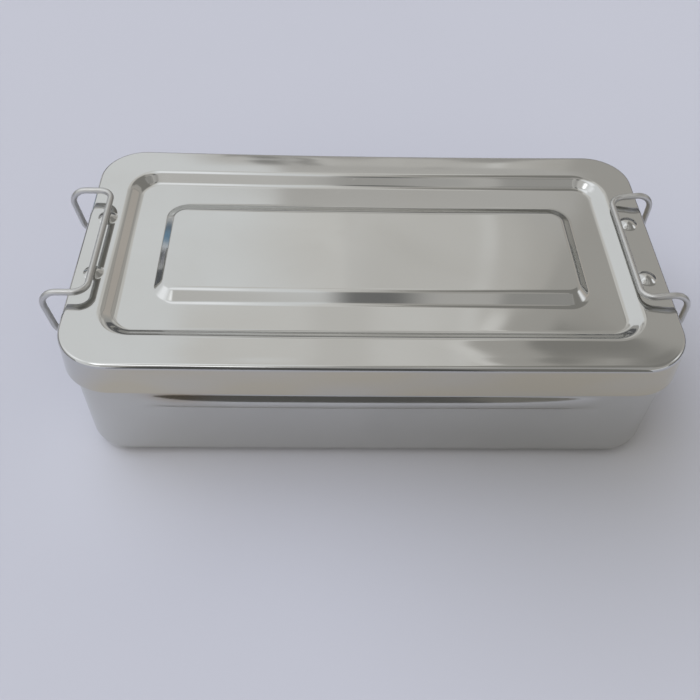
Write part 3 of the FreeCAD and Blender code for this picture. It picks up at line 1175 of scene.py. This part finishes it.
CEILING_PATCHES = (
    CeilingPatch(0.0, 1.00, -0.25, 0.27, grey(0.66, 0.02)),
    CeilingPatch(0.5, 0.52, -0.28, 0.13, grey(0.51, 0.02), soft=0.06),
    CeilingPatch(0.05, 0.045, -0.28, 0.13, grey(0.455, 0.03), soft=0.02),
    CeilingPatch(0.19, 0.022, -0.28, 0.13, grey(0.57, 0.03), soft=0.01),
    CeilingPatch(0.61, 0.40, -0.28, 0.13, grey(0.42, 0.03), soft=0.006),
    CeilingPatch(0.15, 0.06, -0.05, 0.10, grey(0.55, 0.03), soft=0.01),
    CeilingPatch(0.60, 0.40, -0.05, 0.10, grey(0.37, 0.03), soft=0.008),
    CeilingPatch(0.06, 0.05, -0.04, 0.09, grey(0.20), soft=0.025),
    CeilingPatch(-0.28, 0.19, 0.28, 0.17, grey(1.2, -0.04), soft=0.05),
    CeilingPatch(-0.48, 0.22, -0.21, 0.20, grey(2.0, -0.04), soft=0.05),
)


@dataclass(frozen=True)
class DarkCard:
    """An upright curved card that only reflections see, by its bearing and its distance.

    Its top slopes down to the floor over the last share of each half.
    """

    bearing: float
    half_width: float
    distance: float
    height: float
    colour: Colour
    sloped_share: float = 0.0


DARK_CARDS = (
    DarkCard(0, 118, 720, 290, grey(0.42, 0.02)),
    DarkCard(38, 80, 700, 175, grey(0.13, -0.05)),
    DarkCard(-92, 26, 700, 130, grey(0.22, -0.05)),
    DarkCard(-50.5, 2.4, 700, 175, grey(0.12, -0.1)),
    DarkCard(-47.8, 0.3, 700, 175, grey(0.80, -0.05)),
    DarkCard(-46.9, 0.6, 700, 175, (0.17, 0.30, 0.43)),
    DarkCard(-45.9, 0.4, 700, 175, (0.12, 0.17, 0.23)),
    DarkCard(-44.4, 1.1, 700, 175, grey(0.60)),
    DarkCard(165, 35, 190, 165, grey(0.20, 0.05), sloped_share=0.35),
    DarkCard(189, 31, 185, 165, grey(0.11), sloped_share=0.30),
)


@dataclass(frozen=True)
class PaintedLightShadeSpot:
    """A wide soft spot painted into the table's colour, a little lighter (painted light) or darker (painted shade)
    than the rest, placed in millimetres.
    """

    x: float
    y: float
    reach: float
    colour: Colour


PAINTED_LIGHT_SHADE_SPOTS = (
    # Painted light: a lighter pool on the table by the tray's front left.
    PaintedLightShadeSpot(-92, -62, 60, (0.57, 0.57, 0.60)),
    # Painted shade: a darker patch on the table round the tray's front right, standing in for a cast shadow.
    PaintedLightShadeSpot(92, -60, 145, (0.430, 0.427, 0.437)),
)


@dataclass(frozen=True)
class Lamp:
    """A soft lamp far away, by its bearing and elevation in degrees, whose light the steel doesn't mirror."""

    name: str
    strength: float
    colour: Colour
    bearing: float
    elevation: float
    spread: float


LAMPS = (
    Lamp("key_lamp", 0.99, (0.61, 0.70, 1.01), bearing=-60, elevation=62, spread=60),
    Lamp("fill_lamp", 0.63, (1.0, 0.965, 0.89), bearing=205, elevation=50, spread=80),
)


@dataclass
class Studio:
    """The pale floor, the room round it, the lamps and the camera."""

    floor_half: float = 3000.0
    floor_colour: Colour = (0.54, 0.54, 0.575)
    base_low: Colour = (0.80, 0.81, 0.84)
    base_high: Colour = (0.87, 0.89, 0.91)
    wobble: float = 2.6
    camera_place: tuple[float, float, float] = (-17.657, -243.016, 278.54)
    camera_turn: tuple[float, float, float] = (40.852, -1.573, -0.798)
    lens: float = 43.5
    sensor: float = 36.0

    def floor(self) -> None:
        """Makes the floor, a pale table with a faint cloudiness and two soft spots of painted light and painted
        shade.
        """
        half = self.floor_half
        points = np.array([(-half, -half, 0), (half, -half, 0), (half, half, 0), (-half, half, 0)], float)
        plane = make_piece("table", points, [(0, 1, 2, 3)])
        made = bpy.data.materials.new("table")
        made.use_nodes = True
        bench = NodeBench(made.node_tree)
        shader = made.node_tree.nodes["Principled BSDF"]
        shader.inputs["Roughness"].default_value = 0.85
        shader.inputs["Specular IOR Level"].default_value = 0.2
        position = bench.add("ShaderNodeTexCoord").outputs["Object"]
        dull = tuple(value * 0.97 for value in self.floor_colour)
        colour = bench.mix(bench.noise(position, 5.0), self.floor_colour, dull)
        # Paints the pool of light and the patch of shade into the table's colour.
        for spot in PAINTED_LIGHT_SHADE_SPOTS:
            away = bench.add("ShaderNodeVectorMath", operation="DISTANCE")
            bench.wire(position, away.inputs[0])
            away.inputs[1].default_value = (spot.x * MM, spot.y * MM, 0)
            colour = bench.mix(bench.step(away.outputs["Value"], spot.reach * MM, 0.0), colour, spot.colour)
        bench.wire(colour, shader.inputs["Base Color"])
        plane.data.materials.append(made)

    def card(self, index: int, card: DarkCard) -> None:
        """Stands a dark card round the tray, for its polished edges to reflect.

        Args:
            index: The card's number.
            card: Where it stands and its size.
        """
        turns = np.radians(np.linspace(card.bearing - card.half_width, card.bearing + card.half_width, 49))
        foot = np.column_stack((np.sin(turns), np.cos(turns), turns * 0)) * card.distance
        to_end = 1 - np.abs(np.linspace(-1, 1, len(turns)))
        top = card.height * np.clip(to_end / max(card.sloped_share, 0.01), 0.02, 1)
        points = np.vstack((foot, foot + np.outer(top, (0, 0, 1))))
        faces = [(i, i + 1, i + 1 + len(turns), i + len(turns)) for i in range(len(turns) - 1)]
        stand = make_piece(f"card_{index}", points, faces)
        made = bpy.data.materials.new(f"card {index}")
        made.use_nodes = True
        made.node_tree.nodes.clear()
        bench = NodeBench(made.node_tree)
        glow = bench.add("ShaderNodeEmission")
        bench.wire(card.colour, glow.inputs["Color"])
        bench.wire(glow.outputs[0], bench.add("ShaderNodeOutputMaterial").inputs["Surface"])
        stand.data.materials.append(made)
        stand.visible_camera = False
        stand.visible_diffuse = False
        stand.visible_shadow = False

    def hang(self, lamp: Lamp) -> None:
        """Hangs a lamp."""
        data = bpy.data.lights.new(lamp.name, "SUN")
        data.energy = lamp.strength
        data.color = lamp.colour
        data.angle = math.radians(lamp.spread)
        sun = bpy.data.objects.new(lamp.name, data)
        sun.rotation_euler = (math.radians(lamp.elevation - 90), 0, math.radians(-lamp.bearing))
        sun.visible_glossy = False
        bpy.context.scene.collection.objects.link(sun)

    def room(self, walls: Sequence[WallPatch], ceiling: Sequence[CeilingPatch]) -> None:
        """Makes the room as soft patches of light and shade, with slightly wavy edges.

        Args:
            walls: The walls' patches, each laid over those before it.
            ceiling: The patches overhead, laid over the walls' ones.
        """
        world = bpy.data.worlds.new("room")
        world.use_nodes = True
        bpy.context.scene.world = world
        bench = NodeBench(world.node_tree)
        direction = bench.add("ShaderNodeTexCoord").outputs["Generated"]
        parts = bench.add("ShaderNodeSeparateXYZ")
        bench.wire(direction, parts.inputs[0])
        x, y, z = parts.outputs
        drift = bench.add("ShaderNodeSeparateXYZ")
        cloud = bench.add("ShaderNodeTexNoise")
        cloud.inputs["Scale"].default_value = 9.0
        cloud.inputs["Detail"].default_value = 3.0
        bench.wire(direction, cloud.inputs["Vector"])
        bench.wire(cloud.outputs["Color"], drift.inputs[0])
        sway, lift = (bench.math("MULTIPLY_ADD", part, self.wobble, -self.wobble / 2) for part in drift.outputs[:2])
        bearing = bench.math("ADD", bench.math("DEGREES", bench.math("ARCTAN2", x, y)), sway)
        elevation = bench.math("ADD", bench.math("DEGREES", bench.math("ARCSINE", z)), lift)
        colour = bench.mix(bench.step(elevation, 0.0, 40.0), self.base_low, self.base_high)
        for patch in walls:
            rise = bench.math("SUBTRACT", elevation, patch.elevation)
            line = bench.math("MULTIPLY_ADD", rise, patch.slant, patch.bearing) if patch.slant else patch.bearing
            turn = bench.math("WRAP", bench.math("SUBTRACT", bearing, line), -180.0, 180.0)
            wide = self.within(bench, turn, patch.half_width, patch.soft)
            high = self.within(bench, rise, patch.half_height, patch.soft)
            bright = tuple(value * patch.strength for value in patch.colour)
            colour = bench.mix(bench.math("MULTIPLY", wide, high), colour, bright)
        overhead = bench.step(z, 0.88, 0.92)
        for patch in ceiling:
            wide = self.within(bench, bench.math("SUBTRACT", x, patch.x), patch.half_x, patch.soft)
            deep = self.within(bench, bench.math("SUBTRACT", y, patch.y), patch.half_y, patch.soft)
            share = bench.math("MULTIPLY", overhead, bench.math("MULTIPLY", wide, deep))
            colour = bench.mix(share, colour, patch.colour)
        background = world.node_tree.nodes["Background"]
        bench.wire(colour, background.inputs["Color"])
        background.inputs["Strength"].default_value = 1.0

    def within(self, bench: NodeBench, away: bpy.types.NodeSocket, reach: float, soft: float) -> bpy.types.NodeSocket:
        """Returns 1 nearer than a reach and 0 beyond it, with a soft edge."""
        return bench.step(bench.math("ABSOLUTE", away), reach + soft, reach - soft)

    def camera(self) -> None:
        """Makes the camera at the photograph's place and angle."""
        data = bpy.data.cameras.new("camera")
        data.sensor_width = self.sensor
        data.lens = self.lens
        camera = bpy.data.objects.new("camera", data)
        camera.location = [value * MM for value in self.camera_place]
        camera.rotation_euler = [math.radians(value) for value in self.camera_turn]
        bpy.context.scene.collection.objects.link(camera)
        bpy.context.scene.camera = camera


def main() -> None:
    """Builds the studio and the six pieces."""
    logging.basicConfig(level=logging.INFO, format="%(message)s")
    bpy.context.scene.view_settings.view_transform = "Standard"
    studio = Studio()
    studio.camera()
    studio.floor()
    studio.room(WALL_PATCHES, CEILING_PATCHES)
    for lamp in LAMPS:
        studio.hang(lamp)
    for index, card in enumerate(DARK_CARDS):
        studio.card(index, card)

    groups = {
        Group.POLISH_LINES: polish_lines_group(),
        Group.HAIRLINES: hairlines_group(),
        Group.SMUDGES: smudges_group(),
    }
    assemblies = (
        TrayShell("tray", Body.TRAY, "tray_shell", TRAY_STEEL),
        LidShell("lid", Body.LID, "lid_shell", LID_STEEL),
        HingeStrap("strap_left", Body.TRAY, "left_hinge_strap", STRAP_STEEL, side=-1),
        HingeStrap("strap_right", Body.TRAY, "right_hinge_strap", STRAP_STEEL, side=1),
        Bail("bail_left", Body.LEFT_BAIL, "left_bail", WIRE_STEEL, side=-1, open_angle=8.779, shift_y=-1.1),
        Bail("bail_right", Body.RIGHT_BAIL, "right_bail", WIRE_STEEL, side=1),
    )
    materials = {}
    for assembly in assemblies:
        if assembly.finish.name not in materials:
            materials[assembly.finish.name] = assembly.finish.material(groups)
        assembly.build(materials[assembly.finish.name])


if __name__ == "__main__":
    main()
